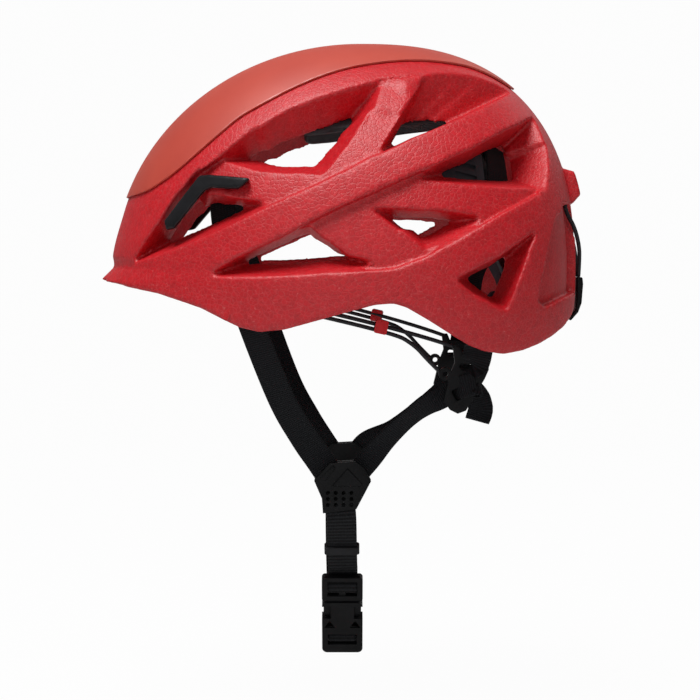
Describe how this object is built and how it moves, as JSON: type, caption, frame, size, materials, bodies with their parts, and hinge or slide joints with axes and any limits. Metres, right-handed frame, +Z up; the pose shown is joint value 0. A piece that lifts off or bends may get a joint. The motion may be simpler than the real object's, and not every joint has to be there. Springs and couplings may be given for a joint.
{
  "type": "climbing helmet",
  "caption": "Vented expanded-foam climbing helmet with crown cap, lamp clips, dial fit cradle, webbing straps and side-release chin buckle.",
  "frame": {"origin": "centre of the wearer's head at the headband plane, on the helmet's middle plane", "axes": "+Z up to the crown, -X to the wearer's front, -Y to the wearer's left"},
  "size_m": [0.2795, 0.212, 0.3542],
  "materials": {
    "foam": "beaded expanded foam",
    "cap": "satin",
    "liner": "fine bead",
    "pad": "brushed",
    "clip_plastic": "satin",
    "bungee": "braided",
    "hook_plastic": "satin",
    "cradle_plastic": "fine texture",
    "dial_plastic": "fine texture",
    "acetal": "smooth",
    "screw_steel": "zinc plated",
    "webbing": "ribbed weave",
    "anchor_plastic": "satin",
    "cord": "braided",
    "red_clip": "satin",
    "fitting_plastic": "satin",
    "keeper_rubber": "matte",
    "buckle_plastic": "satin"
  },
  "bodies": {
    "root": {"foam_body": "foam", "crown_shell": "cap", "crown_liner": "liner", "crown_pad": "pad", "brow_pad": "pad", "headlamp_clip_left": "clip_plastic", "headlamp_clip_right": "clip_plastic", "cradle_hanger_left": "cradle_plastic", "cradle_hanger_right": "cradle_plastic", "hanger_pin_left": "cradle_plastic", "hanger_pin_right": "cradle_plastic", "front_webbing_left": "webbing", "front_webbing_right": "webbing", "rear_webbing_left": "webbing", "rear_webbing_right": "webbing", "rear_strap_left": "webbing", "rear_strap_right": "webbing", "strap_tail_left": "webbing", "strap_tail_right": "webbing", "chin_webbing_left": "webbing", "chin_webbing_right": "webbing", "front_anchor_left": "anchor_plastic", "front_anchor_right": "anchor_plastic", "rear_anchor_left": "anchor_plastic", "rear_anchor_right": "anchor_plastic", "cord_anchor_left": "anchor_plastic", "cord_anchor_right": "anchor_plastic", "temple_cord_upper_left": "cord", "temple_cord_upper_right": "cord", "temple_cord_lower_left": "cord", "temple_cord_lower_right": "cord", "strap_adjuster_left": "fitting_plastic", "strap_adjuster_right": "fitting_plastic", "divider_cover_left": "fitting_plastic", "divider_cover_right": "fitting_plastic", "divider_base_left": "fitting_plastic", "divider_base_right": "fitting_plastic", "buckle_male": "buckle_plastic", "buckle_prongs": "buckle_plastic"},
    "cradle": {"rear_cradle": "cradle_plastic", "cradle_cover": "cradle_plastic", "cradle_screws": "screw_steel", "nape_pad": "pad"},
    "dial": {"fit_dial": "dial_plastic", "dial_pinion": "acetal"},
    "rack_left": {"rack_arm_left": "cradle_plastic"},
    "rack_right": {"rack_arm_right": "cradle_plastic"},
    "buckle_half": {"buckle_female": "buckle_plastic", "chin_loop": "webbing"},
    "keeper": {"strap_keeper": "keeper_rubber"},
    "clip_left": {"cord_clip_left": "red_clip"},
    "clip_right": {"cord_clip_right": "red_clip"},
    "lamp_loop": {"lamp_bungee": "bungee", "lamp_hook": "hook_plastic"}
  },
  "joints": [
    {"name": "cradle_tilt", "type": "hinge", "parent": "root", "child": "cradle", "pos_m": [0.0705, 0, 0.038], "axis": [0, 1, 0], "range_deg": [0, 45]},
    {"name": "fit_dial_turn", "type": "hinge", "parent": "cradle", "child": "dial", "pos_m": [0.098, 0, -0.024], "axis": [-1, 0, 0], "range_deg": [0, 140]},
    {"name": "rack_left_slide", "type": "slide", "parent": "cradle", "child": "rack_left", "axis": [0, 1, 0], "range_m": [0, 0.015]},
    {"name": "rack_right_slide", "type": "slide", "parent": "cradle", "child": "rack_right", "axis": [0, -1, 0], "range_m": [0, 0.015]},
    {"name": "buckle_release", "type": "slide", "parent": "root", "child": "buckle_half", "axis": [0, 0.3584, -0.9336], "range_m": [0, 0.024], "deforming": ["buckle_prongs"]},
    {"name": "keeper_slide", "type": "slide", "parent": "root", "child": "keeper", "axis": [0.0098, 0.5197, -0.8543], "range_m": [-0.013, 0.008]},
    {"name": "clip_left_slide", "type": "slide", "parent": "root", "child": "clip_left", "axis": [0.9717, 0.086, -0.2198], "range_m": [-0.025, 0]},
    {"name": "clip_right_slide", "type": "slide", "parent": "root", "child": "clip_right", "axis": [0.9717, -0.086, -0.2198], "range_m": [-0.025, 0]},
    {"name": "lamp_hook_swing", "type": "hinge", "parent": "root", "child": "lamp_loop", "pos_m": [0.1275, 0, 0.0386], "axis": [0, -1, 0], "range_deg": [0, 45]}
  ],
  "couplings": [
    {"joint": "rack_left_slide", "follows": "fit_dial_turn", "m_per_rad": 0.006},
    {"joint": "rack_right_slide", "follows": "fit_dial_turn", "m_per_rad": 0.006}
  ]
}
